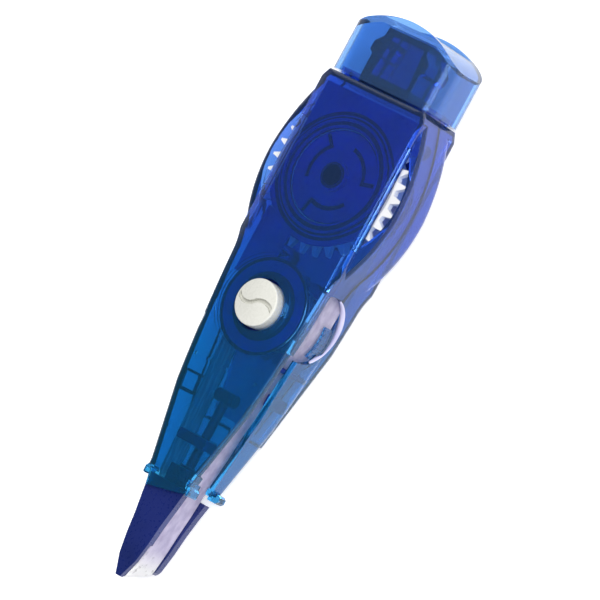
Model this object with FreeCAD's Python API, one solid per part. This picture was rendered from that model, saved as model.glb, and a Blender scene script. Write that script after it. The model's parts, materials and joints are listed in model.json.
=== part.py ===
import FreeCAD, Part
import math
import os

# Refillable pen-type correction tape roller, lying on its rear panel.
# Stations are measured from the writing tip along the pen. X grows towards the rear (cap) end,
# Y is across, with the tape on the -Y side, and Z is the thickness, with the knob on top.
# The finished part is moved so that its origin is under the middle of its length.

# ---- driving dimensions, mm -------------------------------------------------------------
length = 120.2            # tip to the end of the posted cap
thickness = 14.0          # rear panel to front panel
seam_z = 7.0              # parting plane of the two shells
shoulder = 1.6            # the bulge's rim lies this much below the panels
wall = 1.2
panel_half = 13.15        # half width of the raised panels
roll_half = 9.8           # the front panel's long sides roll off beyond this
roll_radius = 9.8
shell_front = 21.3        # station of the shells' mouth
shell_rear = 104.9        # station of the shells' rear face
rear_panel_start = 34.0   # the rear panel starts behind the taper

hub_x = 86.5              # supply axis
knob_x = 58.3             # take-up axis
knob_top = 16.1
knob_foot = 12.3
bulge_half = 17.2

tooth_module = 0.931
supply_teeth = 32
idler_teeth = 8
takeup_teeth = 18
gear_z = (10.3, 11.6)

tape_width = 6.0
tape_z = (4.1, 10.1)
base_z = (2.4, 3.2)        # rear plate of the cartridge
cover_z = (11.7, 12.12)
tape_thick = 0.12
guide_r = 10.4            # radius at which the tape passes the take-up reel
pin_x = 49.5              # here a guide post bends the tape towards the head
pin_y = 8.1
exit_y = 3.85             # the tape and the film leave the shells this far from the middle
exit_x = 21.4
tape_rise = 1.05          # the tape climbs this much on its way to the head
supply_roll_r = 11.4
film_roll_r = 7.0

head_axis_z = 8.3         # the head swivels about this line along X
plate_outer = 4.7         # height of the side plates' outer faces above and below that line
plate_inner = 3.2
lip_start = 8.0           # ahead of this the front plate is thinner and shows more tape
lip_rise = 0.6
tip_slant = 2.0           # the writing edge runs back this much towards the rear plate
head_root = 21.0
stem_r = 0.95
stem_end = 38.5

cap_start = 105.3
cap_half = 13.5
cap_depth = 13.0
cap_wall = 1.2
cap_end_wall = (117.2, 118.4)
tongue_end = 116.9

X_AXIS = FreeCAD.Vector(1, 0, 0)
Z_AXIS = FreeCAD.Vector(0, 0, 1)


# ---- small helpers ----------------------------------------------------------------------
def vec(x, y, z=0.0):
    return FreeCAD.Vector(x, y, z)


def box(x0, x1, y0, y1, z0, z1):
    return Part.makeBox(x1 - x0, y1 - y0, z1 - z0, vec(x0, y0, z0))


def disc(x, y, z0, z1, radius):
    return Part.makeCylinder(radius, z1 - z0, vec(x, y, z0))


def ring(x, y, z0, z1, outer, inner):
    return disc(x, y, z0, z1, outer).cut(disc(x, y, z0 - 1, z1 + 1, inner))


def rod(x0, x1, y, z, radius):
    return Part.makeCylinder(radius, x1 - x0, vec(x0, y, z), X_AXIS)


def prism(points, z0, z1):
    """Straight-sided solid on a closed list of (x, y) points."""
    corners = [vec(x, y, z0) for x, y in points]
    face = Part.Face(Part.makePolygon(corners + corners[:1]))
    return face.extrude(vec(0, 0, z1 - z0))


def mirrored(points):
    """Closed outline from the points of its +Y half."""
    return points + [(x, -y) for x, y in reversed(points)]


def lifted(face, z0, z1):
    solid = face.extrude(vec(0, 0, z1 - z0))
    solid.translate(vec(0, 0, z0))
    return solid


def rounded_ends(solid, z, radius):
    """Round the edges that lie in the plane at z."""
    edges = []
    for edge in solid.Edges:
        low = edge.BoundBox.ZMin
        high = edge.BoundBox.ZMax
        if abs(low - z) < 1e-4 and abs(high - z) < 1e-4:
            edges.append(edge)
    return solid.makeFillet(radius, edges)


# ---- outline of the shells --------------------------------------------------------------
def half_outline(side):
    """Edges of one side, from the mouth to the rear face."""
    mouth = (shell_front, 5.4)
    cheek = (38.1, 9.3)
    waist = (66.0, 12.2)
    bulge_start = (70.6, 13.5)
    bulge_top = (hub_x, bulge_half)
    tail = (shell_rear, 12.2)
    at = lambda point: vec(point[0], side * point[1])
    return [
        Part.LineSegment(at(mouth), at(cheek)).toShape(),
        Part.Arc(at(cheek), at((51.5, 11.0)), at(waist)).toShape(),
        Part.Arc(at(waist), at((68.5, 12.72)), at(bulge_start)).toShape(),
        Part.Arc(at(bulge_start), at((78.0, 16.25)), at(bulge_top)).toShape(),
        Part.Arc(at(bulge_top), at((95.5, 15.8)), at(tail)).toShape(),
    ]


def outline_face():
    left = half_outline(1)
    right = half_outline(-1)
    mouth = Part.LineSegment(vec(shell_front, -5.4), vec(shell_front, 5.4)).toShape()
    rear = Part.LineSegment(vec(shell_rear, -12.2), vec(shell_rear, 12.2)).toShape()
    edges = Part.__sortEdges__(left + right + [mouth, rear])
    return Part.Face(Part.Wire(edges))


def front_panel():
    """Outline of the raised front panel: the whole outline, cut straight beside the bulge."""
    strip = Part.makePlane(shell_rear - shell_front, 2 * panel_half, vec(shell_front, -panel_half))
    return outline_face().common(strip).Faces[0]


def rear_panel():
    """Outline of the raised rear panel, which starts late and narrows towards the mouth."""
    half = [(rear_panel_start, 7.2), (62.0, 12.6), (65.0, panel_half), (shell_rear, panel_half)]
    corners = [vec(x, y) for x, y in mirrored(half)]
    strip = Part.Face(Part.makePolygon(corners + corners[:1]))
    return outline_face().common(strip).Faces[0]


# ---- casing -----------------------------------------------------------------------------
def shell_blank(panel, panel_round, rim_round):
    """Half casing lying with its panel at z = 0 and its seam at z = seam_z."""
    outline = outline_face()
    rim = rounded_ends(lifted(outline, shoulder, seam_z), shoulder, rim_round)
    raised = rounded_ends(lifted(panel, 0, seam_z), 0, panel_round)
    rim_cavity = lifted(outline.makeOffset2D(-wall), shoulder + wall, seam_z + 1)
    raised_cavity = lifted(panel.makeOffset2D(-wall), wall, seam_z + 1)
    return rim.fuse(raised).cut(rim_cavity).cut(raised_cavity)


def half_z(z0):
    """Height range of the half of the casing that a feature starting at z0 belongs to."""
    return (seam_z, thickness) if z0 >= seam_z else (0.0, seam_z)


def tongue(z0, z1):
    """Flat tail that the cap is pushed on, with a snap bump on each side."""
    half = [(shell_rear, 6.1), (111.0, 6.1), (111.6, 7.0), (113.4, 7.0), (115.0, 5.4),
            (tongue_end, 5.2)]
    tail = prism(mirrored(half), z0, z1)
    groove = prism(mirrored([(107.4, 4.6), (tongue_end - 1.2, 3.9)]), seam_z - 3.2, seam_z + 3.2)
    neck = rounded_tube(shell_rear - 0.1, 106.3, 12.0, 2.0, thickness - 2.0, 2.8)
    neck = neck.cut(rounded_tube(shell_rear - 0.2, 107.0, 11.2, 2.8, thickness - 2.8, 2.0))
    own_half = box(100, 110, -13, 13, *half_z(z0))
    return tail.cut(groove).fuse(neck.common(own_half))


def rolled_sides():
    """Bar along X that trims the front panel's long sides to a gentle roll-off."""
    reach = panel_half + 0.2
    drop = roll_radius - math.sqrt(roll_radius ** 2 - (reach - roll_half) ** 2)
    middle = math.radians(80)
    edges = [Part.LineSegment(vec(0, -roll_half, thickness), vec(0, roll_half, thickness)).toShape()]
    for side in (-1, 1):
        on_arc = vec(0, side * (roll_half + roll_radius * math.cos(middle)),
                     thickness - roll_radius * (1 - math.sin(middle)))
        edge = vec(0, side * reach, thickness - drop)
        edges.append(Part.Arc(vec(0, side * roll_half, thickness), on_arc, edge).toShape())
        edges.append(Part.LineSegment(edge, vec(0, side * 20.0, thickness - drop)).toShape())
        edges.append(Part.LineSegment(vec(0, side * 20.0, thickness - drop),
                                      vec(0, side * 20.0, 0)).toShape())
    edges.append(Part.LineSegment(vec(0, -20.0, 0), vec(0, 20.0, 0)).toShape())
    return Part.Face(Part.Wire(Part.__sortEdges__(edges))).extrude(vec(length + 1, 0, 0))


def mouth_tab(side):
    """Small ear on each side of the mouth that the cap stops against over the head."""
    half = [(19.6, 5.4), (19.6, 5.75), (19.9, 5.95), (21.0, 5.95), (21.6, 5.5), (22.4, 5.5),
            (22.4, 4.7), (20.75, 4.7), (20.75, 5.4)]
    return prism([(x, side * y) for x, y in half], 10.3, 13.6)


def collar_tab(side, z0, z1):
    """Small flange beside the mouth that stops the cap when it covers the head."""
    half = [(20.6, 4.5), (20.6, 6.6), (21.1, 7.1), (22.0, 7.1), (22.4, 6.5), (22.4, 4.5)]
    return prism([(x, side * y) for x, y in half], z0, z1)


def side_lug(z0, z1):
    """Low step on the +Y flank where the shells clip together."""
    half = [(36.6, 8.5), (36.6, 9.5), (37.2, 9.95), (40.4, 10.35), (41.0, 10.0), (41.0, 8.5)]
    return prism(half, z0, z1)


def head_clearance():
    """Space in the shells' mouth in which the head swivels."""
    return box(20.0, 22.6, -4.3, 4.3, 3.9, 12.85)


def visor():
    """Lip of the front panel over the head, cut back where the tape comes out."""
    corners = [(22.6, 5.3), (20.5, 4.35), (17.8, 3.7), (19.0, -2.0), (19.7, -5.1), (22.6, -5.3)]
    return prism(corners, 13.4, thickness - 0.02)


def tape_window():
    """Round scallop in the -Y flank where the tape runs in the open."""
    scallop = Part.makeCylinder(7.2, 6.0, vec(59.0, -14.0, 9.4), vec(0, 1, 0))
    return scallop.common(box(50.0, 68.0, -14.0, -8.0, 0.0, 11.9))


def tape_slot():
    """Slanted slot in the -Y flank, from the scallop down to the mouth."""
    plan = prism([(20.0, -2.9), (20.0, -8.0), (52.5, -14.0), (52.5, -8.2), (35.0, -5.6)], 4.1, 12.8)
    side = [(19.0, 6.0), (22.5, 6.3), (30.0, 7.5), (35.0, 8.5), (40.0, 9.0), (45.0, 9.5),
            (53.0, 9.6), (53.0, 12.8), (24.2, 12.8), (23.8, 11.6), (19.0, 11.6)]
    corners = [vec(x, -15.0, z) for x, z in side]
    height = Part.Face(Part.makePolygon(corners + corners[:1])).extrude(vec(0, 14.0, 0))
    return plan.common(height)


def gear_windows():
    """Crescents beside the front panel that show the toothed wheel."""
    bore = disc(hub_x, 0, seam_z - 1, thickness - shoulder, 16.3)
    return bore.cut(box(hub_x - 20, hub_x + 20, -panel_half, panel_half,
                        thickness - shoulder - 0.1, thickness + 1))


def front_pieces():
    """Front shell as cut, largest piece first; a strip of flank below the slot comes loose."""
    shell = shell_blank(front_panel(), 0.9, 1.0)
    shell.rotate(vec(0, 0, thickness / 2), X_AXIS, 180)
    shell = shell.common(rolled_sides()).cut(gear_windows())
    shell = shell.fuse([tongue(seam_z, 11.6), side_lug(seam_z, 11.5)])
    ribs = [
        ring(knob_x, 0, 12.5, 12.95, 10.6, 9.9),
        ring(knob_x, 0, 12.4, 12.95, 6.1, 5.3),
        visor(),
        box(66.4, 74.2, -11.4, -10.9, 12.3, 12.95),
        box(44.0, 44.7, -7.8, 8.6, 11.9, 12.95),
        box(29.4, 30.0, -3.7, 6.6, 12.5, 12.95),
    ]
    shell = shell.fuse(ribs)
    knob_hole = disc(knob_x, 0, 12.0, thickness + 1, 5.3)
    shell = shell.cut([knob_hole, head_clearance(), tape_window(), tape_slot()])
    shell = shell.fuse([mouth_tab(1), mouth_tab(-1)]).removeSplitter()
    return sorted(shell.Solids, key=lambda piece: piece.Volume, reverse=True)


def front_shell():
    return front_pieces()[0]


def rear_shell():
    """Rear shell, which also carries the strip of flank below the tape slot."""
    shell = shell_blank(rear_panel(), 1.4, 2.5)
    shell = shell.fuse([tongue(3.6, seam_z), side_lug(4.2, seam_z)])
    posts = [
        disc(hub_x, 0, 1.1, 2.35, 3.2),
        disc(knob_x, 0, 1.1, 2.35, 2.6),
        disc(98.6, 7.5, 1.1, 6.6, 1.5),
        disc(98.6, -7.5, 1.1, 6.6, 1.5),
        box(46.0, 46.8, -8.0, 8.0, 1.1, 2.3),
    ]
    shell = shell.fuse(posts)
    shell = shell.cut([head_clearance(), tape_window(), tape_slot()])
    extras = [collar_tab(1, 3.0, 5.2), collar_tab(-1, 3.0, 5.2)] + front_pieces()[1:]
    return shell.fuse(extras).removeSplitter()


def cap():
    """Posted cap: a flat tube with its end wall set back behind two arched, slanted lips."""
    start = cap_start
    centre_z = thickness / 2
    low = centre_z - cap_depth / 2
    high = centre_z + cap_depth / 2
    corner = 4.0
    outer = rounded_tube(start, length + 1, cap_half, low, high, corner)
    inner = rounded_tube(start - 1, cap_end_wall[0], cap_half - cap_wall, low + cap_wall,
                         high - cap_wall, corner - cap_wall)
    recess = rounded_tube(cap_end_wall[1], length + 2, cap_half - cap_wall, low + cap_wall,
                          high - cap_wall, corner - cap_wall)
    return outer.cut([inner.common(crown(21.0 - cap_wall)), recess]).common(crown(21.0))


def crown(radius):
    """Upright drum whose face gives the cap its arched end, leaning forward by the slant."""
    drum = Part.makeCylinder(radius, 40.0, vec(length - 21.0, 0, -20.0))
    drum.rotate(vec(length, 0, 0.5), vec(0, 1, 0), -3.0)
    return drum


def rounded_tube(x0, x1, half, z0, z1, corner):
    """Solid bar along X with a rounded rectangular section."""
    bar = box(x0, x1, -half, half, z0, z1)
    edges = [edge for edge in bar.Edges if edge.BoundBox.XLength > 0.5 * (x1 - x0)]
    return bar.makeFillet(corner, edges)


# ---- gears ------------------------------------------------------------------------------
def pitch_radius(teeth):
    return tooth_module * teeth / 2


def gear_face(x, y, teeth, first_angle, tip_add, root_drop):
    """Flat gear with straight-flanked teeth; one tooth is centred on first_angle."""
    pitch = pitch_radius(teeth)
    step = 2 * math.pi / teeth
    tip_half = 0.22 / (pitch + tip_add)
    root_half = 0.86 / (pitch - root_drop)
    root_half = min(root_half, 0.40 * step)
    points = []
    for index in range(teeth):
        centre = first_angle + index * step
        for offset, radius in ((-root_half, pitch - root_drop), (-tip_half, pitch + tip_add),
                               (tip_half, pitch + tip_add), (root_half, pitch - root_drop)):
            angle = centre + offset
            points.append(vec(x + radius * math.cos(angle), y + radius * math.sin(angle)))
    return Part.Face(Part.makePolygon(points + points[:1]))


def idler_place():
    """Centre of the idler, on the +Y side, in mesh with both large gears."""
    to_supply = pitch_radius(supply_teeth) + pitch_radius(idler_teeth)
    to_takeup = pitch_radius(takeup_teeth) + pitch_radius(idler_teeth)
    apart = hub_x - knob_x
    along = (to_supply ** 2 - to_takeup ** 2 + apart ** 2) / (2 * apart)
    return hub_x - along, math.sqrt(to_supply ** 2 - along ** 2)


def mesh_angles():
    """Angle of one tooth of each gear, so that the three stand in mesh."""
    idler_x, idler_y = idler_place()
    supply_angle = math.atan2(idler_y, idler_x - hub_x)
    idler_step = 2 * math.pi / idler_teeth
    idler_angle = supply_angle + math.pi + idler_step / 2
    to_takeup = math.atan2(-idler_y, knob_x - idler_x)
    ahead = (idler_angle + idler_step / 2 - to_takeup) % idler_step
    takeup_angle = to_takeup + math.pi - ahead * idler_teeth / takeup_teeth
    return supply_angle, idler_angle, takeup_angle


def supply_gear():
    """White toothed wheel: a deep toothed rim on a thin web, with a bore for the clutch."""
    low, high = gear_z
    teeth = lifted(gear_face(hub_x, 0, supply_teeth, mesh_angles()[0], 1.0, 1.05), low, high)
    dish = ring(hub_x, 0, low + 0.6, high + 1, 13.2, 10.4)
    return teeth.cut([dish, disc(hub_x, 0, low - 1, high + 1, 9.4)])


def idler_gear():
    low, high = gear_z
    x, y = idler_place()
    teeth = lifted(gear_face(x, y, idler_teeth, mesh_angles()[1], 0.8, 1.1), low, high)
    collar = disc(x, y, low - 0.5, low, 1.9)
    return teeth.fuse(collar).cut(disc(x, y, low - 2, high + 1, 0.85))


def takeup_gear():
    low, high = gear_z
    teeth = lifted(gear_face(knob_x, 0, takeup_teeth, mesh_angles()[2], 0.9, 1.05), low, high)
    return teeth.cut(disc(knob_x, 0, low - 1, high + 1, 3.4))


# ---- supply reel ------------------------------------------------------------------------
def clutch_hub():
    """Slip clutch: a disc on the core whose three curved arms press on the gear's bore."""
    low, high = gear_z
    plate = disc(hub_x, 0, low, high + 0.1, 9.3)
    for turn in (-77, 43, 163):
        plate = plate.cut(clutch_slot(turn))
    boss = disc(hub_x, 0, high, high + 1.05, 3.1)
    return plate.fuse(boss).cut(disc(hub_x, 0, low - 1, high + 2, 2.1))


def clutch_slot(turn):
    """Deep groove beside one arm: a fifth of a turn round the hub, then out to the rim."""
    inner, outer = 5.9, 6.8
    sweep = 69
    low = gear_z[0] + 0.3
    groove = Part.makeCylinder(outer, 4, vec(hub_x, 0, low), Z_AXIS, sweep)
    groove = groove.cut(disc(hub_x, 0, 9.0, 15.0, inner))
    groove = groove.fuse(box(hub_x + inner, hub_x + 9.1, -0.9, 0.0, low, low + 4))
    groove.rotate(vec(hub_x, 0), Z_AXIS, turn)
    return groove


def supply_core():
    """Core that the fresh tape is wound on, with its rear flange."""
    low, high = tape_z
    barrel = ring(hub_x, 0, low - 0.75, high + 0.2, 4.6, 2.1)
    flange = ring(hub_x, 0, low - 0.75, low - 0.1, 12.4, 2.1)
    return barrel.fuse(flange)


def supply_tape():
    low, high = tape_z
    return ring(hub_x, 0, low, high, supply_roll_r, 4.6)


# ---- take-up reel -----------------------------------------------------------------------
def takeup_core():
    """Core for the used film with a flange at each end and a toothed anti-reverse rim."""
    low, high = tape_z
    barrel = ring(knob_x, 0, low - 0.75, high + 0.15, 4.2, 1.4)
    rear = lifted(gear_face(knob_x, 0, 20, 0.0, -0.2, 0.8), low - 0.75, low - 0.1)
    rear = rear.cut(disc(knob_x, 0, 0, low + 1, 1.4))
    stem = ring(knob_x, 0, high + 0.15, knob_foot, 3.4, 1.4)
    return barrel.fuse([rear, stem])


def film_roll():
    low, high = tape_z
    return ring(knob_x, 0, low, high, film_roll_r, 4.2)


def rewind_knob():
    """Round knob with a domed top and one wavy coin slot across it."""
    dome_r = 22.0
    dome = Part.makeSphere(dome_r, vec(knob_x, 0, knob_top - dome_r))
    knob = disc(knob_x, 0, knob_foot, knob_top + 1, 4.75).common(dome)
    top = [edge for edge in knob.Edges
           if edge.BoundBox.ZMin > knob_foot + 0.5 and edge.BoundBox.ZLength < 0.01]
    return knob.makeFillet(0.35, top).cut(coin_slot())


def coin_slot():
    """S-shaped slot that stops short of the rim, slightly deeper than a coin's edge."""
    half_width = 0.42
    first = Part.Arc(vec(knob_x, -4.0), vec(knob_x + 0.75, -2.0), vec(knob_x, 0)).toShape()
    second = Part.Arc(vec(knob_x, 0), vec(knob_x - 0.75, 2.0), vec(knob_x, 4.0)).toShape()
    slot = None
    for arc, side in ((first, 1), (second, -1)):
        lane = lane_of(arc, half_width)
        slot = lane if slot is None else slot.fuse(lane)
    return slot


def lane_of(arc, half_width):
    """Upright wall of even width along an arc, used as a cutter."""
    centre = arc.Curve.Center
    radius = arc.Curve.Radius
    outer = disc(centre.x, centre.y, knob_top - 1.1, knob_top + 1.0, radius + half_width)
    wall_ring = outer.cut(disc(centre.x, centre.y, 13.0, 18.0, radius - half_width))
    low = min(arc.Vertexes[0].Y, arc.Vertexes[-1].Y)
    high = max(arc.Vertexes[0].Y, arc.Vertexes[-1].Y)
    return wall_ring.common(box(knob_x - 2, knob_x + 2, low - 0.2, high + 0.2, 13.0, 18.0))


# ---- cartridge frame --------------------------------------------------------------------
def cartridge_base():
    """Rear plate that carries both reels, the idler and the tape guides."""
    low, high = base_z
    plate = disc(hub_x, 0, low, high, 11.8)
    plate = plate.fuse([disc(knob_x, 0, low, high, 10.3),
                        box(knob_x, hub_x, -8.6, 8.6, low, high),
                        prism(mirrored([(36.0, 4.9), (50.0, 7.4)]), low, high)])
    fence = ring(knob_x, 0, high, tape_z[1] + 0.1, guide_r - 0.05, guide_r - 0.65)
    sector = prism([(knob_x, 0), (51.0, -14.0), (67.8, -14.0)], high, 12.0)
    lip = ring(knob_x, 0, 3.45, 4.05, 11.35, guide_r - 0.65)
    lip_sector = prism([(knob_x, 0), (54.2, -14.0), (65.5, -14.0)], high, 12.0)
    guard = tape_guard()
    return plate.fuse([fence.common(sector), lip.common(lip_sector), guard]).removeSplitter()


def tape_guard():
    """Low curved wall outside the tape, with a row of small upright teeth."""
    wall_ring = ring(knob_x, 0, 4.0, 6.8, 11.25, 10.85)
    guard = wall_ring.common(prism([(knob_x, 0), (51.8, -14.0), (60.9, -14.0)], 3.5, 12.0))
    for degrees in range(-113, -79, 5):
        angle = math.radians(degrees)
        x = knob_x + 11.12 * math.cos(angle)
        guard = guard.fuse(disc(x, 11.12 * math.sin(angle), 4.0, 6.5, 0.24))
    return guard.cut(box(48.0, 54.8, -12.0, -8.0, 3.9, 5.3))


def cartridge_cover():
    """Dark bridge plate over both reels, ribbed in rings and narrower than the panel."""
    low, high = cover_z
    plate = disc(hub_x, 0, low, high, 14.0).fuse(disc(knob_x, 0, low, high, 9.8))
    plate = plate.fuse([box(62.0, 76.0, 2.6, 10.2, low, high),
                        box(hub_x, 102.6, -11.7, 11.7, low, high)])
    plate = plate.common(box(40, 103, -11.7, 11.7, 10, 14))
    ribs = [ring(hub_x, 0, high - 0.1, high + 0.35, outer, outer - 0.45)
            for outer in (10.2, 11.5)]
    groove = ring(hub_x, 0, high - 0.22, high + 0.5, 12.8, 12.2)
    bore = disc(hub_x, 0, low - 1, high + 1, 9.6)
    plate = plate.fuse(ribs).cut([groove, bore, disc(knob_x, 0, low - 1, high + 1, 5.3)])
    return plate.removeSplitter()


def supply_spindle():
    return disc(hub_x, 0, base_z[1], thickness - wall, 2.04)


def takeup_spindle():
    return disc(knob_x, 0, base_z[1], 12.0, 1.34)


def idler_spindle():
    x, y = idler_place()
    post = disc(x, y, base_z[1], gear_z[0] - 0.6, 2.0)
    return post.fuse(disc(x, y, gear_z[0] - 0.6, cover_z[0], 0.8))


def guide_pins():
    """Fixed posts that bend the tape towards the head and keep it off the rear shell."""
    floor = shoulder + wall
    bend = disc(pin_x - 0.3, -pin_y - 0.8, floor, 11.4, 0.52)
    stub = box(42.0, 43.8, -8.35, -7.61, floor, 8.2)
    stub = stub.fuse([disc(42.0, -7.98, floor, 8.2, 0.37), disc(43.8, -7.98, floor, 8.2, 0.37)])
    return Part.makeCompound([bend, stub.removeSplitter()])


def pawl_spring():
    """Bent strip on the base whose tip rides on the anti-reverse teeth."""
    low = base_z[1]
    foot = disc(70.5, -6.0, low, low + 0.7, 0.9)
    arm = prism([(70.3, -5.3), (70.3, -5.9), (67.3, -4.0), (67.1, -3.3)], low + 0.15, low + 0.7)
    return foot.fuse(arm)


# ---- head -------------------------------------------------------------------------------
def plate_outline(nose, rear):
    """Outline of one of the head's side plates, from its nose to its rear corners."""
    flank = [(4.0, 2.15), (8.0, 2.9), (12.0, 3.4), (16.0, 4.1), (rear, 4.85)]
    return mirrored(nose + flank)


def blade_half(grow):
    """Half section of the wedge-shaped blade, grown sideways by the given amount."""
    half = [(-0.5, 0.45), (3.5, 1.72), (8.0, 2.32), (12.0, 2.72), (16.0, 3.2), (head_root, 3.62)]
    return [(x, y + grow) for x, y in half]


def writing_edge(setback, width):
    """Body in front of the slanted writing edge, used to trim the blade and its tape."""
    tip_z = head_axis_z + plate_inner
    foot_z = head_axis_z - plate_inner
    corners = [vec(-5, -width, tip_z + 1), vec(setback - 0.16 * tip_slant, -width, tip_z + 1),
               vec(setback + tip_slant * 1.16, -width, foot_z - 1), vec(-5, -width, foot_z - 1)]
    face = Part.Face(Part.makePolygon(corners + corners[:1]))
    return face.extrude(vec(0, 2 * width, 0))


def head():
    """Blade between two side plates, with a neck that sits in the shells' mouth."""
    centre = head_axis_z
    rear_end = head_root - 0.6
    ahead = box(-1.0, lip_start, -6.0, 6.0, centre + plate_inner, centre + plate_inner + lip_rise)
    front = prism(plate_outline([(0.05, 0.6), (2.0, 1.35)], rear_end),
                  centre + plate_inner, centre + plate_outer).cut(ahead)
    rear = prism(plate_outline([(2.8, 1.3), (3.3, 1.8)], rear_end - 1.0),
                 centre - plate_outer, centre - plate_inner)
    wedge = prism(mirrored(blade_half(0.0)), centre - plate_inner,
                  centre + plate_inner + lip_rise)
    blade = wedge.common(box(-1.0, rear_end, -6.0, 6.0, 0.0, centre + plate_inner))
    blade = blade.fuse(wedge.common(ahead)).cut(writing_edge(0.51, 3.0))
    neck = box(rear_end, 23.9, -1.6, 1.6, centre + 1.0, centre + 3.9)
    root = rod(rear_end, 24.4, 0, centre, 1.9)
    return blade.fuse([front, rear, neck, root]).removeSplitter()


def head_stem():
    """Flexible stem with a cross bar, which brings the head back to the middle."""
    stem = rod(24.4, stem_end + 1, 0, head_axis_z, stem_r)
    bar = Part.makeCylinder(1.3, 4.6, vec(stem_end + 1, -2.3, head_axis_z), vec(0, 1, 0))
    return stem.fuse(bar)


def head_bearing():
    """Block across the shells with a bore for the stem."""
    block = box(28.6, 30.6, -3.5, 3.5, shoulder + wall, 12.4)
    return block.cut(rod(27, 32, 0, head_axis_z, stem_r + 0.08))


# ---- tape and film ----------------------------------------------------------------------
def tangent_on_circle(x, y, cx, cy, radius, side):
    """Point where the line from (x, y) touches a circle, on the given side of it."""
    dx, dy = cx - x, cy - y
    reach = math.hypot(dx, dy)
    swing = math.acos(radius / reach)
    angle = math.atan2(-dy, -dx) + side * swing
    return cx + radius * math.cos(angle), cy + radius * math.sin(angle)


def tape_route(offset):
    """Fresh tape from the supply roll to the guide post, as the points of its wire."""
    radius = guide_r + offset
    roll_r = supply_roll_r + 0.1 + offset
    lean = math.asin((roll_r - radius) / (hub_x - knob_x))
    start = (hub_x + roll_r * math.sin(lean), -roll_r * math.cos(lean))
    leave = (knob_x + radius * math.sin(lean), -radius * math.cos(lean))
    end = (pin_x, -pin_y - offset)
    touch = tangent_on_circle(end[0], end[1], knob_x, 0, radius, 1)
    angles = [math.atan2(y, x - knob_x) for x, y in (leave, touch)]
    middle_angle = sum(angles) / 2
    middle = (knob_x + radius * math.cos(middle_angle), radius * math.sin(middle_angle))
    return start, leave, middle, touch, end


def tape_run():
    """Fresh tape: round the fence, past the guide post, then rising to the head."""
    low, high = tape_z
    low, high = low + 0.15, high + 0.15
    routes = (tape_route(0.0), tape_route(tape_thick))
    edges = []
    for start, leave, middle, touch, end in routes:
        edges.append(Part.LineSegment(vec(*start), vec(*leave)).toShape())
        edges.append(Part.Arc(vec(*leave), vec(*middle), vec(*touch)).toShape())
        edges.append(Part.LineSegment(vec(*touch), vec(*end)).toShape())
    for place in (0, 4):
        edges.append(Part.LineSegment(vec(*routes[0][place]), vec(*routes[1][place])).toShape())
    near = lifted(Part.Face(Part.Wire(Part.__sortEdges__(edges))), low, high)
    return near.fuse(rising_tape(low, high))


def rising_tape(low, high):
    """Straight stretch between the guide post and the head."""
    corners = [vec(pin_x, -pin_y, low), vec(exit_x, -exit_y, low + tape_rise),
               vec(exit_x, -exit_y, high + tape_rise), vec(pin_x, -pin_y, high)]
    face = Part.Face(Part.makePolygon(corners + corners[:1]))
    return face.extrude(vec(0, -tape_thick, 0))


def film_run():
    """Used film on its way back from the head to the take-up roll."""
    low, high = tape_z[0] + 0.1, tape_z[1] + 0.1
    roll_r = film_roll_r + 0.1
    inner = tangent_on_circle(exit_x, exit_y, knob_x, 0, roll_r, -1)
    outer = tangent_on_circle(exit_x, exit_y + tape_thick, knob_x, 0, roll_r + tape_thick, -1)
    return prism([(exit_x, exit_y), inner, outer, (exit_x, exit_y + tape_thick)], low, high)


def tape_tip():
    """Tape that lies on the blade and turns round its slanted edge."""
    low, high = head_axis_z - plate_inner + 0.2, head_axis_z + plate_inner - 0.2
    step = box(lip_start - 0.1, head_root + 1, -6.0, 6.0, high, high + 2)
    keep = box(-2.0, head_root - 0.7, -6.0, 6.0, 0.0, 20.0)
    outer = prism(mirrored(blade_half(0.17)), low, high + lip_rise).cut(step).common(keep)
    inner = prism(mirrored(blade_half(0.05)), low - 1, high + 2)
    sides = outer.cut(inner).cut(writing_edge(0.41, 3.0))
    nose = outer.common(writing_edge(0.46, 3.0)).cut(writing_edge(0.14, 4.0))
    return sides.fuse(nose)


PARTS = {
    "front_shell": front_shell,
    "rear_shell": rear_shell,
    "cap": cap,
    "supply_gear": supply_gear,
    "idler_gear": idler_gear,
    "takeup_gear": takeup_gear,
    "clutch_hub": clutch_hub,
    "supply_core": supply_core,
    "supply_tape": supply_tape,
    "takeup_core": takeup_core,
    "film_roll": film_roll,
    "rewind_knob": rewind_knob,
    "cartridge_base": cartridge_base,
    "cartridge_cover": cartridge_cover,
    "supply_spindle": supply_spindle,
    "takeup_spindle": takeup_spindle,
    "idler_spindle": idler_spindle,
    "guide_pins": guide_pins,
    "pawl_spring": pawl_spring,
    "head": head,
    "head_stem": head_stem,
    "head_bearing": head_bearing,
    "tape_run": tape_run,
    "film_run": film_run,
    "tape_tip": tape_tip,
}


def main():
    os.makedirs("parts", exist_ok=True)
    for name, build in PARTS.items():
        shape = build()
        shape.translate(vec(-length / 2, 0, 0))
        print(name, shape.isValid(), len(shape.Solids), round(shape.Volume, 2))
        shape.exportStep("parts/" + name + ".step")


main()
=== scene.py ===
import json
import math

import bmesh
import bpy
from mathutils import Matrix, Vector


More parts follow.
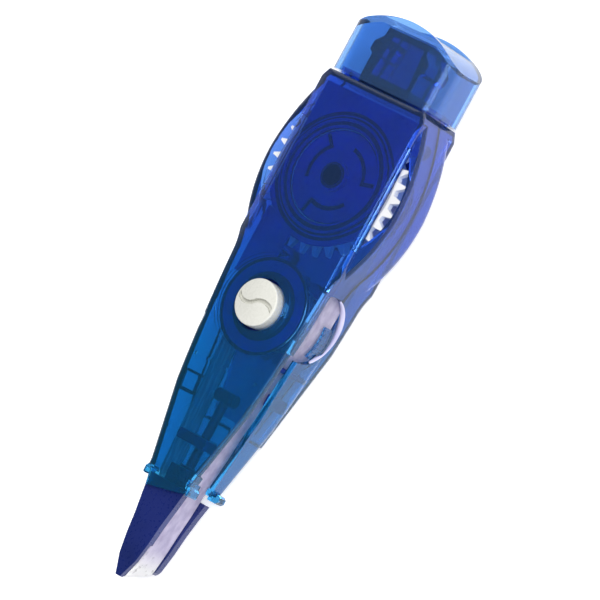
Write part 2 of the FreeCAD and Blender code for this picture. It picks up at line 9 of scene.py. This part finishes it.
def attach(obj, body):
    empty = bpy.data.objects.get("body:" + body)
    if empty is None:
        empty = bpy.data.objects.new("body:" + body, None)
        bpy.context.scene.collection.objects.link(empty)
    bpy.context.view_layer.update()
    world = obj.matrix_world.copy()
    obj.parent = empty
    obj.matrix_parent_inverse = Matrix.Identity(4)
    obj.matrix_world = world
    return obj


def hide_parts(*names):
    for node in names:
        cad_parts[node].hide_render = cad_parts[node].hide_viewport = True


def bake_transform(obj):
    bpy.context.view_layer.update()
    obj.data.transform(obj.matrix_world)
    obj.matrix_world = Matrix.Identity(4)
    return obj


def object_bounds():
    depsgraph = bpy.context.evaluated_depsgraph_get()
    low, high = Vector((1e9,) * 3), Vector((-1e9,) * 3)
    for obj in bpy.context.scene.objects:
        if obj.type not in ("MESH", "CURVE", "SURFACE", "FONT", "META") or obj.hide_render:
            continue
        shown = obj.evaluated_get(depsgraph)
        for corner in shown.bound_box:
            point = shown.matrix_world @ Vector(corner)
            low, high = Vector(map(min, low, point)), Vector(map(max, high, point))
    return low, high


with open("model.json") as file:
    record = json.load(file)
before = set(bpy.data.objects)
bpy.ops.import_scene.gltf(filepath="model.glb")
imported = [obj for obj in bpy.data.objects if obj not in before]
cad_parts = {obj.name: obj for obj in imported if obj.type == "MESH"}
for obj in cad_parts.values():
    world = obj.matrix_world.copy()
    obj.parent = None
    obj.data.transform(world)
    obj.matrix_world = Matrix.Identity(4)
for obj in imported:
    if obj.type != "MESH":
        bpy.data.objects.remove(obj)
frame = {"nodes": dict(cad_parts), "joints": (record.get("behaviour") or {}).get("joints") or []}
cad_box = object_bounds()

MM = 0.001

# ---- where things are, read from the frame ------------------------------------------------
NODES = frame["nodes"]
JOINTS = {joint["name"]: joint for joint in frame["joints"]}
SUPPLY_AXIS = Vector(JOINTS["supply_spin"]["pos_m"])
TAKEUP_AXIS = Vector(JOINTS["takeup_spin"]["pos_m"])
TIP_X = cad_box[0][0]

# ---- camera, floor and light ---------------------------------------------------------------
CAMERA_AZIMUTH = -1.0
CAMERA_ELEVATION = 55.1
CAMERA_ROLL = -60.9
CAMERA_DISTANCE = 0.75
CAMERA_LENS = 234.5
AIM_X = 0.15 * MM
AIM_HEIGHT = 7.0 * MM
AIM_RIGHT = 3.23 * MM
AIM_UP = 1.01 * MM
SENSOR_WIDTH = 36.0
CLIP_START = 0.05
CLIP_END = 20.0

KEY_PLACE = (0.15, -0.32, 0.6)
KEY_SIZE = (0.4, 0.4)
KEY_POWER = 4.5

# The world is a white tent with a dark gap; edges are cosines of the angle to the gap's middle.
GAP_DIRECTION = (0.0, 0.30, 0.954)
TENT_EDGE = 0.66
TENT_COLOUR = (0.85, 0.85, 0.88)
GAP_EDGE = 0.90
GAP_COLOUR = (0.03, 0.03, 0.05)

FLOOR_HALF = 1.5
FLOOR_DROP = 0.4 * MM
FLOOR_WHITE = 0.92
FLOOR_GLOW = 0.5
LIGHT_BOUNCES = 32

# ---- route of the tape, stations in mm from the writing tip ---------------------------------
GUIDE_RADIUS = 10.46
SUPPLY_RADIUS = 11.5
FILM_RADIUS = 7.15
PIN = (49.5, -8.16)
EXIT = (21.4, 3.91)
REEL_LOW = 4.25
HEAD_LOW = 5.3
TAPE_WIDTH = 6.0
TIP_EXTRA = 0.6
TIP_END = 8.0
TIP_FADE = 1.0
TAPE_THICK = 0.1 * MM
ROWS = 8

# Blade with its tape: station and half thickness, from the tip to the root.
WEDGE = [(-0.5, 0.56), (3.5, 1.83), (8.0, 2.43), (12.0, 2.83), (16.0, 3.31), (21.0, 3.73)]
BLADE_STOPS = [20.6, 19.0, 17.5, 16.0, 14.0, 12.0, 10.0, 8.0, 7.0, 5.8, 4.6, 3.5]

# The slanted writing edge: its station at height EDGE_TOP, mm of station per mm below it, and
# the last EDGE_POINTS points of a flank, over which the tape turns round it.
EDGE_START = 0.30
EDGE_TOP = 11.5
EDGE_SLANT = 0.3125
EDGE_STATION = 2.0
EDGE_APPROACH = 0.5
EDGE_CORNER = 0.16
EDGE_ROUND = 0.03
EDGE_NOSE = -0.02
EDGE_ROUND_IN = 0.15
EDGE_NOSE_HALF = 0.25
EDGE_POINTS = 4

# Steps along the tape: roll to guide, round the guide, guide to pin, pin or film roll to mouth.
ROLL_STEPS = 12
GUIDE_STEPS = 16
PIN_STEPS = 3
MOUTH_STEPS = 14

# ---- colour of the clear shells: cyan before the first station, violet after the second ------
TINT_FROM = 45.0 * MM
TINT_TO = 85.0 * MM
TINT_WANDER = 0.8

# ---- white at the tip of the tape, lilac-grey painted shade behind it under the front plate ---
TAPE_SHADE_FROM = 3.0 * MM
TAPE_SHADE_TO = 8.0 * MM

# ---- edges of the wound layers; a ring wave of scale 1 repeats about every 0.31 m --------------
LAYER_SPACING = 0.5 * MM
WAVE_PERIOD = 0.31

# ---- colours: most materials drift between two -------------------------------------------------
SHELL_CYAN = (0.04, 0.37, 0.68)
SHELL_VIOLET = (0.12, 0.26, 0.78)
SHELL_DEPTH = (0.34, 0.40, 0.94)
SHELL_DENSITY = 60.0
CAP_CYAN = (0.14, 0.45, 0.78)
CAP_VIOLET = (0.20, 0.42, 0.80)
CAP_DEPTH = (0.40, 0.58, 0.95)
CAP_DENSITY = 40.0
DARK_BLUES = [(0.008, 0.020, 0.17), (0.014, 0.030, 0.22)]
DISC_BLUE = (0.018, 0.050, 0.42)
# Near-black painted shade for the disc's deep slots and grooves.
GROOVE_SHADE_BLUE = (0.004, 0.008, 0.07)
NAVIES = [(0.007, 0.016, 0.10), (0.010, 0.020, 0.13)]
WHITES = [(0.78, 0.78, 0.76), (0.86, 0.86, 0.84)]
CREAMS = [(0.60, 0.60, 0.54), (0.66, 0.66, 0.60)]
ROLL_WHITES = [(0.80, 0.80, 0.84), (0.62, 0.62, 0.68)]
ROLL_GREYS = [(0.66, 0.66, 0.68), (0.45, 0.45, 0.48)]
FILM_GREYS = [(0.62, 0.62, 0.66), (0.82, 0.82, 0.85)]
# Tape lilacs: painted shade on the tape where the head's front plate overhangs it.
TAPE_SHADE_LILACS = [(0.52, 0.48, 0.66), (0.70, 0.66, 0.82)]
TAPE_WHITES = [(0.50, 0.50, 0.50), (0.93, 0.93, 0.93)]
# Lip lilacs: painted reflection of the white surroundings on the scallop's clear rim.
LIP_SHEEN_LILACS = [(0.46, 0.44, 0.66), (0.62, 0.60, 0.78)]

# ---- grain of moulded plastic -----------------------------------------------------------------
GRAIN_SCALE = 1600.0
GRAIN_DEPTH = 0.01 * MM
GRAIN_STRENGTH = 0.25

# ---- painted shade in the grooves round the supply reel's axis: middle radius and half width ---
DISC_SHADE_GROOVES = [(2.3 * MM, 0.35 * MM), (9.45 * MM, 0.2 * MM), (10.55 * MM, 0.4 * MM),
                (11.75 * MM, 0.22 * MM), (12.6 * MM, 0.35 * MM)]

# ---- the same round the rewind knob's axis, in the same cover ---------------------------------
KNOB_SHADE_GROOVES = [(6.0 * MM, 0.9 * MM), (9.45 * MM, 0.35 * MM)]

# ---- painted shade: the disc is dark below this height, in the slots beside the clutch arms ---
SLOT_SHADE_Z = 11.45 * MM

# ---- lip of the scallop in the flank, in mm --------------------------------------------------
LIP_CENTRE = (59.0, 9.4)
LIP_RADIUS = 7.18
LIP_FROM = -150.0
LIP_TO = -12.0
LIP_STEPS = 40
LIP_WALL = 11.0
LIP_WALL_FROM = 52.0
LIP_WALL_SLOPE = 0.085
LIP_MIN_DEPTH = 0.3
LIP_MORE_DEPTH = 1.2
LIP_FADE_POWER = 0.4
LIP_SINK = 0.02
LIP_SHOULDER = 0.12
LIP_SHOULDER_IN = 0.05
LIP_CROWN = 0.26


def camera_axes():
    """Right, up and backward directions of the camera."""
    azimuth = math.radians(CAMERA_AZIMUTH)
    elevation = math.radians(CAMERA_ELEVATION)
    roll = math.radians(CAMERA_ROLL)
    back = Vector((math.sin(azimuth) * math.cos(elevation),
                   -math.cos(azimuth) * math.cos(elevation),
                   math.sin(elevation)))
    level = (-back).cross(Vector((0, 0, 1))).normalized()
    upright = level.cross(-back)
    right = level * math.cos(roll) + upright * math.sin(roll)
    up = upright * math.cos(roll) - level * math.sin(roll)
    return right, up, back


def add_camera():
    """Long-lens camera from the -Y side, rolled so that the pen stands up in the frame."""
    right, up, back = camera_axes()
    aim = Vector((AIM_X, 0, AIM_HEIGHT)) + right * AIM_RIGHT + up * AIM_UP
    data = bpy.data.cameras.new("camera")
    data.lens = CAMERA_LENS
    data.sensor_width = SENSOR_WIDTH
    data.clip_start = CLIP_START
    data.clip_end = CLIP_END
    camera = bpy.data.objects.new("camera", data)
    place = Matrix((right, up, back)).transposed().to_4x4()
    place.translation = aim + back * CAMERA_DISTANCE
    camera.matrix_world = place
    bpy.context.scene.collection.objects.link(camera)
    bpy.context.scene.camera = camera


def add_area(name, location, size, power):
    """Soft white lamp aimed at the origin and hidden from reflections."""
    data = bpy.data.lights.new(name, "AREA")
    data.shape = "RECTANGLE"
    data.size, data.size_y = size
    data.energy = power
    lamp = bpy.data.objects.new(name, data)
    lamp.location = location
    lamp.rotation_euler = (-Vector(location)).to_track_quat("-Z", "Y").to_euler()
    lamp.visible_glossy = False
    bpy.context.scene.collection.objects.link(lamp)


def add_world():
    """White tent with a dark gap overhead, which the flat panel mirrors."""
    world = bpy.data.worlds.new("studio")
    world.use_nodes = True
    tree = world.node_tree
    sky = tree.nodes["Background"]
    place = tree.nodes.new("ShaderNodeTexCoord")
    towards = tree.nodes.new("ShaderNodeVectorMath")
    towards.operation = "DOT_PRODUCT"
    towards.inputs[1].default_value = GAP_DIRECTION
    tree.links.new(place.outputs["Generated"], towards.inputs[0])
    colour = blend_colours(tree, towards.outputs["Value"], TENT_COLOUR, GAP_COLOUR,
                           TENT_EDGE, GAP_EDGE)
    tree.links.new(colour, sky.inputs["Color"])
    bpy.context.scene.world = world


def add_floor():
    """Plain white paper just below the rear panel."""
    mesh = bpy.data.meshes.new("floor")
    half = FLOOR_HALF
    corners = [(-half, -half, 0), (half, -half, 0), (half, half, 0), (-half, half, 0)]
    mesh.from_pydata(corners, [], [(0, 1, 2, 3)])
    floor = bpy.data.objects.new("floor", mesh)
    floor.location = (0, 0, -FLOOR_DROP)
    bpy.context.scene.collection.objects.link(floor)
    material, _, shader = new_material("floor_paper")
    shader.inputs["Base Color"].default_value = (FLOOR_WHITE, FLOOR_WHITE, FLOOR_WHITE, 1)
    shader.inputs["Roughness"].default_value = 0.9
    shader.inputs["Specular IOR Level"].default_value = 0.1
    shader.inputs["Emission Color"].default_value = (1, 1, 1, 1)
    shader.inputs["Emission Strength"].default_value = FLOOR_GLOW
    mesh.materials.append(material)


# ---- material helpers ----------------------------------------------------------------------
def new_material(name):
    """A material, its node tree and its shader."""
    material = bpy.data.materials.new(name)
    material.use_nodes = True
    tree = material.node_tree
    return material, tree, tree.nodes["Principled BSDF"]


def noise(tree, scale, detail=2.0, stretch=(1, 1, 1)):
    """Noise in the object's own coordinates; scale is in features per metre."""
    place = tree.nodes.new("ShaderNodeTexCoord")
    mapping = tree.nodes.new("ShaderNodeMapping")
    mapping.inputs["Scale"].default_value = stretch
    texture = tree.nodes.new("ShaderNodeTexNoise")
    texture.inputs["Scale"].default_value = scale
    texture.inputs["Detail"].default_value = detail
    tree.links.new(place.outputs["Object"], mapping.inputs["Vector"])
    tree.links.new(mapping.outputs["Vector"], texture.inputs["Vector"])
    return texture.outputs["Fac"]


def spread(tree, value, low, high):
    """Maps a noise value to the range low to high."""
    reach = tree.nodes.new("ShaderNodeMapRange")
    reach.inputs["From Min"].default_value = 0.3
    reach.inputs["From Max"].default_value = 0.7
    reach.inputs["To Min"].default_value = low
    reach.inputs["To Max"].default_value = high
    tree.links.new(value, reach.inputs["Value"])
    return reach.outputs["Result"]


def along_pen(tree, start, end):
    """0 before start and 1 after end, along X."""
    place = tree.nodes.new("ShaderNodeTexCoord")
    split = tree.nodes.new("ShaderNodeSeparateXYZ")
    reach = tree.nodes.new("ShaderNodeMapRange")
    reach.inputs["From Min"].default_value = start
    reach.inputs["From Max"].default_value = end
    tree.links.new(place.outputs["Object"], split.inputs["Vector"])
    tree.links.new(split.outputs["X"], reach.inputs["Value"])
    return reach.outputs["Result"]


def blend_colours(tree, value, first, second, low=0.35, high=0.65):
    """First colour where value is under low, second where it is over high."""
    ramp = tree.nodes.new("ShaderNodeValToRGB")
    ramp.color_ramp.elements[0].position = low
    ramp.color_ramp.elements[0].color = (*first, 1)
    ramp.color_ramp.elements[1].position = high
    ramp.color_ramp.elements[1].color = (*second, 1)
    tree.links.new(value, ramp.inputs[0])
    return ramp.outputs[0]


def add_bump(tree, shader, value, depth, strength):
    """Surface relief from value; depth is in metres."""
    bump = tree.nodes.new("ShaderNodeBump")
    bump.inputs["Strength"].default_value = strength
    bump.inputs["Distance"].default_value = depth
    tree.links.new(value, bump.inputs["Height"])
    tree.links.new(bump.outputs["Normal"], shader.inputs["Normal"])


def math_node(tree, operation, first, second=None):
    """Two-input maths; an input is a socket or a number."""
    node = tree.nodes.new("ShaderNodeMath")
    node.operation = operation
    for index, value in enumerate((first, second)):
        if isinstance(value, (int, float)):
            node.inputs[index].default_value = value
        elif value is not None:
            tree.links.new(value, node.inputs[index])
    return node.outputs[0]


def add_grain(tree, shader, rough_low, rough_high):
    """Fine moulded grain, in roughness and relief."""
    grain = noise(tree, GRAIN_SCALE, 2.0)
    tree.links.new(spread(tree, grain, rough_low, rough_high), shader.inputs["Roughness"])
    add_bump(tree, shader, grain, GRAIN_DEPTH, GRAIN_STRENGTH)


def mix_colours(tree, share, first, second):
    """First colour where share is 0, second where it is 1; a colour is a socket or a tuple."""
    mix = tree.nodes.new("ShaderNodeMix")
    mix.data_type = "RGBA"
    tree.links.new(share, mix.inputs["Factor"])
    for socket, colour in ((mix.inputs[6], first), (mix.inputs[7], second)):
        if isinstance(colour, tuple):
            socket.default_value = (*colour, 1)
        else:
            tree.links.new(colour, socket)
    return mix.outputs[2]


def distance_from(tree, split, axis):
    """Distance of the shaded point from an upright axis."""
    x = math_node(tree, "SUBTRACT", split.outputs["X"], axis[0])
    y = math_node(tree, "SUBTRACT", split.outputs["Y"], axis[1])
    square = math_node(tree, "ADD", math_node(tree, "MULTIPLY", x, x),
                       math_node(tree, "MULTIPLY", y, y))
    return math_node(tree, "SQRT", square)


# ---- materials -----------------------------------------------------------------------------
def clear_plastic(name, tint, other, thick_colour, density):
    """See-through moulding: tint towards the tip, other towards the tail, ripples and haze."""
    material, tree, shader = new_material(name)
    drift = noise(tree, 60.0, 3.0, (1.0, 2.0, 2.0))
    wander = math_node(tree, "MULTIPLY", math_node(tree, "SUBTRACT", drift, 0.5), TINT_WANDER)
    share = math_node(tree, "ADD", along_pen(tree, TIP_X + TINT_FROM, TIP_X + TINT_TO), wander)
    tree.links.new(blend_colours(tree, share, tint, other, 0.0, 1.0),
                   shader.inputs["Base Color"])
    haze = noise(tree, 900.0, 4.0)
    tree.links.new(spread(tree, haze, 0.02, 0.07), shader.inputs["Roughness"])
    shader.inputs["Transmission Weight"].default_value = 0.92
    shader.inputs["IOR"].default_value = 1.5
    add_bump(tree, shader, noise(tree, 260.0, 2.0, (1.0, 3.0, 3.0)), 0.04 * MM, 0.35)
    depth = tree.nodes.new("ShaderNodeVolumeAbsorption")
    depth.inputs["Color"].default_value = (*thick_colour, 1)
    depth.inputs["Density"].default_value = density
    tree.links.new(depth.outputs[0], tree.nodes["Material Output"].inputs["Volume"])
    return material


def moulded_plastic(name, colour, other, rough_low, rough_high):
    """Solid moulded plastic with a fine grain and slight colour drift."""
    material, tree, shader = new_material(name)
    drift = noise(tree, 120.0, 3.0)
    tree.links.new(blend_colours(tree, drift, colour, other), shader.inputs["Base Color"])
    add_grain(tree, shader, rough_low, rough_high)
    return material


def ringed_plastic(name, colour, groove, grooves):
    """Disc moulding with painted shade: dark below a set height in its deep slots, and in groove
    rings (axis, radius, half width).
    """
    material, tree, shader = new_material(name)
    place = tree.nodes.new("ShaderNodeTexCoord")
    split = tree.nodes.new("ShaderNodeSeparateXYZ")
    tree.links.new(place.outputs["Object"], split.inputs["Vector"])
    # Painted shade: dark in the slots below a set height and in the rings round the axes.
    dark = math_node(tree, "LESS_THAN", split.outputs["Z"], SLOT_SHADE_Z)
    for axis, middle, half in grooves:
        offset = math_node(tree, "SUBTRACT", distance_from(tree, split, axis), middle)
        away = math_node(tree, "ABSOLUTE", offset)
        dark = math_node(tree, "MAXIMUM", dark, math_node(tree, "LESS_THAN", away, half))
    lighter = tuple(1.35 * level for level in colour)
    face = blend_colours(tree, noise(tree, 140.0, 3.0), colour, lighter)
    tree.links.new(mix_colours(tree, dark, face, groove), shader.inputs["Base Color"])
    add_grain(tree, shader, 0.25, 0.4)
    return material


def wound_layers(tree, axis, spacing):
    """Fine rings round an upright axis, like the edge of wound tape."""
    place = tree.nodes.new("ShaderNodeTexCoord")
    mapping = tree.nodes.new("ShaderNodeMapping")
    mapping.inputs["Location"].default_value = (-axis[0], -axis[1], 0)
    rings = tree.nodes.new("ShaderNodeTexWave")
    rings.wave_type = "RINGS"
    rings.rings_direction = "Z"
    rings.inputs["Scale"].default_value = WAVE_PERIOD / spacing
    rings.inputs["Distortion"].default_value = 0.6
    rings.inputs["Detail Scale"].default_value = 300.0
    tree.links.new(place.outputs["Object"], mapping.inputs["Vector"])
    tree.links.new(mapping.outputs["Vector"], rings.inputs["Vector"])
    return rings.outputs["Fac"]


def wound_roll(name, colour, other, axis, roughness):
    """Wound tape or film, with its layers as fine rings round the axis."""
    material, tree, shader = new_material(name)
    rings = wound_layers(tree, axis, LAYER_SPACING)
    tree.links.new(blend_colours(tree, rings, colour, other, 0.1, 0.9),
                   shader.inputs["Base Color"])
    chalk = noise(tree, 1500.0, 4.0)
    tree.links.new(spread(tree, chalk, roughness, roughness + 0.2), shader.inputs["Roughness"])
    add_bump(tree, shader, rings, 0.06 * MM, 0.6)
    return material


def chalky_tape():
    """Tape coating: white at the tip; behind it, mottled lilac-grey painted shade where the
    head's front plate overhangs the tape.
    """
    material, tree, shader = new_material("correction_tape")
    mottle = noise(tree, 450.0, 5.0, (1.0, 1.0, 1.6))
    body = blend_colours(tree, mottle, *TAPE_SHADE_LILACS)
    tip = blend_colours(tree, noise(tree, 900.0, 4.0), *TAPE_WHITES, 0.30, 0.42)
    # Lilac-grey painted shade behind the tip, under the head's front plate.
    plate_shade = along_pen(tree, TIP_X + TAPE_SHADE_FROM, TIP_X + TAPE_SHADE_TO)
    tree.links.new(mix_colours(tree, plate_shade, tip, body), shader.inputs["Base Color"])
    tree.links.new(spread(tree, noise(tree, 1800.0, 3.0), 0.55, 0.8),
                   shader.inputs["Roughness"])
    add_bump(tree, shader, noise(tree, 500.0, 3.0, (0.4, 0.4, 2.5)), 0.05 * MM, 0.5)
    return material


def clear_film():
    """Used carrier film: milky, streaked lengthways and slightly see-through."""
    material, tree, shader = new_material("used_film")
    streak = noise(tree, 700.0, 3.0, (0.2, 0.2, 2.0))
    tree.links.new(blend_colours(tree, streak, *FILM_GREYS), shader.inputs["Base Color"])
    tree.links.new(spread(tree, streak, 0.15, 0.35), shader.inputs["Roughness"])
    shader.inputs["Transmission Weight"].default_value = 0.35
    add_bump(tree, shader, streak, 0.04 * MM, 0.4)
    return material


def dress(names, material):
    """Puts one material on the named nodes of the frame."""
    for name in names:
        mesh = NODES[name].data
        mesh.materials.clear()
        mesh.materials.append(material)


def dress_all():
    """Gives every node of the frame that stays in view its material."""
    blue = clear_plastic("clear_blue", SHELL_CYAN, SHELL_VIOLET, SHELL_DEPTH, SHELL_DENSITY)
    pale = clear_plastic("cap_blue", CAP_CYAN, CAP_VIOLET, CAP_DEPTH, CAP_DENSITY)
    dark = moulded_plastic("dark_blue", *DARK_BLUES, 0.28, 0.45)
    grooves = [(SUPPLY_AXIS, *groove) for groove in DISC_SHADE_GROOVES]
    grooves += [(TAKEUP_AXIS, *groove) for groove in KNOB_SHADE_GROOVES]
    disc = ringed_plastic("disc_blue", DISC_BLUE, GROOVE_SHADE_BLUE, grooves)
    navy = moulded_plastic("head_navy", *NAVIES, 0.25, 0.36)
    white = moulded_plastic("white_plastic", *WHITES, 0.35, 0.5)
    cream = moulded_plastic("knob_cream", *CREAMS, 0.22, 0.34)
    roll = wound_roll("wound_tape", *ROLL_WHITES, SUPPLY_AXIS, 0.5)
    used = wound_roll("wound_film", *ROLL_GREYS, TAKEUP_AXIS, 0.25)
    dress(["front_shell", "rear_shell", "cartridge_base", "takeup_core", "idler_spindle"], blue)
    dress(["cap"], pale)
    dress(["supply_spindle", "takeup_spindle", "guide_pins", "pawl_spring", "head_bearing",
           "supply_core", "takeup_gear", "idler_gear"], dark)
    dress(["cartridge_cover", "clutch_hub"], disc)
    dress(["head", "head_stem"], navy)
    dress(["supply_gear"], white)
    dress(["rewind_knob"], cream)
    dress(["supply_tape"], roll)
    dress(["film_roll"], used)


# ---- tape and film as one flexible ribbon each -----------------------------------------------
def wedge_half(x):
    """Half thickness of the blade with its tape, at station x."""
    for (x0, y0), (x1, y1) in zip(WEDGE, WEDGE[1:]):
        if x <= x1:
            return y0 + (y1 - y0) * (x - x0) / (x1 - x0)
    return WEDGE[-1][1]


def station(axis):
    """Station along the pen, in mm from the tip, of a joint's axis."""
    return (axis[0] - TIP_X) / MM


def touch_point(x, y, centre, radius, side):
    """Point where the line from (x, y) touches the circle, on the given side."""
    reach = math.hypot(centre - x, y)
    angle = math.atan2(y, x - centre) + side * math.acos(radius / reach)
    return centre + radius * math.cos(angle), radius * math.sin(angle)


def straight(start, end, steps):
    """Points from start towards end, without end."""
    return [tuple(a + (b - a) * index / steps for a, b in zip(start, end))
            for index in range(steps)]


def reel_stretch():
    """Fresh tape from the supply roll, round the guide, past the pin and to the mouth."""
    supply, takeup = station(SUPPLY_AXIS), station(TAKEUP_AXIS)
    lean = math.asin((SUPPLY_RADIUS - GUIDE_RADIUS) / (supply - takeup))
    start = (supply + SUPPLY_RADIUS * math.sin(lean), -SUPPLY_RADIUS * math.cos(lean))
    leave = (takeup + GUIDE_RADIUS * math.sin(lean), -GUIDE_RADIUS * math.cos(lean))
    touch = touch_point(PIN[0], PIN[1], takeup, GUIDE_RADIUS, 1)
    first = math.atan2(leave[1], leave[0] - takeup)
    last = math.atan2(touch[1], touch[0] - takeup)
    points = straight(start, leave, ROLL_STEPS)
    for index in range(GUIDE_STEPS):
        angle = first + (last - first) * index / GUIDE_STEPS
        points.append((takeup + GUIDE_RADIUS * math.cos(angle), GUIDE_RADIUS * math.sin(angle)))
    mouth = (EXIT[0], -EXIT[1])
    points += straight(touch, PIN, PIN_STEPS) + straight(PIN, mouth, MOUTH_STEPS)
    return points + [mouth]


def film_stretch():
    """Used film from the mouth back to the take-up roll."""
    touch = touch_point(EXIT[0], EXIT[1], station(TAKEUP_AXIS), FILM_RADIUS, -1)
    return straight(EXIT, touch, MOUTH_STEPS) + [touch]


def low_edge(x):
    """Height of the ribbon's lower edge at station x."""
    share = min(max((x - EXIT[0]) / (PIN[0] - EXIT[0]), 0.0), 1.0)
    return HEAD_LOW + (REEL_LOW - HEAD_LOW) * share


def high_edge(x):
    """Height of the ribbon's upper edge at station x; it is a little wider near the tip."""
    return low_edge(x) + TAPE_WIDTH + TIP_EXTRA * min(max(TIP_END - x, 0.0) / TIP_FADE, 1.0)


def blade_stretch(side, z_share):
    """Points on one flank of the blade from its root to the writing edge."""
    points = [(x, side * wedge_half(x)) for x in BLADE_STOPS]
    low, high = low_edge(EDGE_STATION), high_edge(EDGE_STATION)
    edge = EDGE_START + (EDGE_TOP - low - z_share * (high - low)) * EDGE_SLANT
    half = wedge_half(edge)
    before = edge + EDGE_APPROACH
    points += [(before, side * wedge_half(before)),
               (edge + EDGE_CORNER, side * half),
               (edge + EDGE_ROUND, side * (half - EDGE_ROUND_IN)),
               (edge + EDGE_NOSE, side * EDGE_NOSE_HALF)]
    return points


def add_piece(name, work, material):
    """Turns a finished bmesh into a smooth object with one material."""
    bmesh.ops.recalc_face_normals(work, faces=work.faces[:])
    for face in work.faces:
        face.smooth = True
    mesh = bpy.data.meshes.new(name)
    work.to_mesh(mesh)
    work.free()
    mesh.materials.append(material)
    piece = bpy.data.objects.new(name, mesh)
    bpy.context.scene.collection.objects.link(piece)
    return piece


def ribbon(name, route, material):
    """Thin band whose rows follow route(share), with share 0 at the lower edge and 1 on top."""
    work = bmesh.new()
    rows = []
    for index in range(ROWS + 1):
        share = index / ROWS
        row = []
        for x, y in route(share):
            z = low_edge(x) + share * (high_edge(x) - low_edge(x))
            row.append(work.verts.new((TIP_X + x * MM, y * MM, z * MM)))
        rows.append(row)
    for lower, upper in zip(rows, rows[1:]):
        for index in range(len(lower) - 1):
            work.faces.new((lower[index], lower[index + 1], upper[index + 1], upper[index]))
    bmesh.ops.solidify(work, geom=work.faces[:], thickness=TAPE_THICK)
    piece = add_piece(name, work, material)
    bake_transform(piece)
    return piece


def add_ribbons():
    """Tape that turns round the writing edge, and film that starts at the last blade stop.

    Between the two, a short bare stretch of the blade shows on the +Y flank.
    """
    reel = reel_stretch()
    back = film_stretch()

    def tape_route(share):
        turn = blade_stretch(1, share)[-EDGE_POINTS:]
        return reel + blade_stretch(-1, share) + turn[::-1]

    def film_route(share):
        flank = blade_stretch(1, share)[:-EDGE_POINTS]
        return flank[::-1] + back

    tape = ribbon("tape_ribbon", tape_route, chalky_tape())
    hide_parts("tape_run", "tape_tip")
    film = ribbon("film_ribbon", film_route, clear_film())
    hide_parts("film_run")


def lip_section(index):
    """Points round the lip's section at one step along the scallop, in metres."""
    angle = math.radians(LIP_FROM + (LIP_TO - LIP_FROM) * index / LIP_STEPS)
    fade = math.sin(math.pi * index / LIP_STEPS) ** LIP_FADE_POWER
    outer_x = LIP_CENTRE[0] + LIP_RADIUS * math.cos(angle)
    outer_y = -(LIP_WALL + (outer_x - LIP_WALL_FROM) * LIP_WALL_SLOPE)
    inner_y = outer_y + LIP_MIN_DEPTH + LIP_MORE_DEPTH * fade
    profile = [(outer_y, LIP_SINK),
               (outer_y + LIP_SHOULDER_IN, LIP_SHOULDER),
               (0.5 * (outer_y + inner_y), LIP_CROWN),
               (inner_y - LIP_SHOULDER_IN, LIP_SHOULDER),
               (inner_y, LIP_SINK)]
    points = []
    for y, rise in profile:
        radius = LIP_RADIUS - rise
        points.append((TIP_X + (LIP_CENTRE[0] + radius * math.cos(angle)) * MM,
                       y * MM,
                       (LIP_CENTRE[1] + radius * math.sin(angle)) * MM))
    return points


def add_scallop_lip():
    """Rolled lip round the scallop in the -Y flank, pale lilac as a painted reflection of the
    white surroundings on the clear rim.
    """
    work = bmesh.new()
    loops = [[work.verts.new(point) for point in lip_section(index)]
             for index in range(LIP_STEPS + 1)]
    for first, second in zip(loops, loops[1:]):
        for index in range(len(first)):
            after = (index + 1) % len(first)
            work.faces.new((first[index], first[after], second[after], second[index]))
    work.faces.new(loops[0])
    work.faces.new(loops[-1])
    # Pale lilac painted reflection on the lip.
    lip = moulded_plastic("lip_painted_sheen", *LIP_SHEEN_LILACS, 0.12, 0.25)
    piece = add_piece("scallop_lip", work, lip)
    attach(piece, "casing")


# ---- the scene -----------------------------------------------------------------------------
def build():
    """Studio, materials and the pieces that the frame does not have."""
    scene = bpy.context.scene
    scene.view_settings.view_transform = "Standard"
    scene.cycles.max_bounces = LIGHT_BOUNCES
    scene.cycles.transmission_bounces = LIGHT_BOUNCES
    scene.cycles.transparent_max_bounces = LIGHT_BOUNCES
    add_world()
    add_floor()
    add_camera()
    add_area("key", KEY_PLACE, KEY_SIZE, KEY_POWER)
    dress_all()
    add_ribbons()
    add_scallop_lip()


build()
